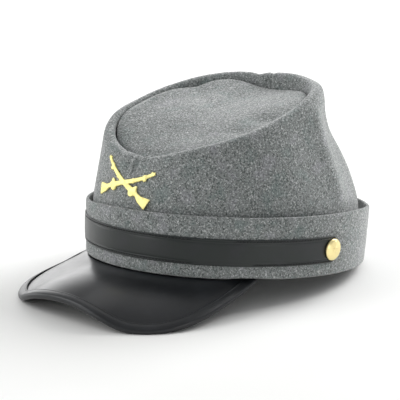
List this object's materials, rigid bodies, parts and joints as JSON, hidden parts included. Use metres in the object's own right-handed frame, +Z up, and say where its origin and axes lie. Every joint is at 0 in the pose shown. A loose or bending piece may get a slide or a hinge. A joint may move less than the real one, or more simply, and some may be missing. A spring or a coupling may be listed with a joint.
{
  "type": "kepi cap",
  "caption": "Soft wool kepi with a folded band, sunk crown top, bound leather visor, leather strap between brass side buttons and a crossed-rifles badge.",
  "frame": {"origin": "centre of the bounding box, at the level of the surface that the hat stands on", "axes": "+Z up, -Y towards the front (the visor), +X towards the wearer's left"},
  "size_m": [0.1962, 0.2698, 0.1345],
  "materials": {
    "wool_felt": "milled melange wool, matt, with short fuzz",
    "black_leather": "smooth polished black leather, satin",
    "brass": "pale stamped brass, softly polished"
  },
  "bodies": {
    "root": {"crown_side": "wool_felt", "crown_top": "wool_felt", "band": "wool_felt", "chin_strap": "black_leather", "side_button_left": "brass", "side_button_right": "brass", "visor": "black_leather", "visor_binding": "black_leather", "crossed_rifles_badge": "brass"}
  },
  "joints": []
}
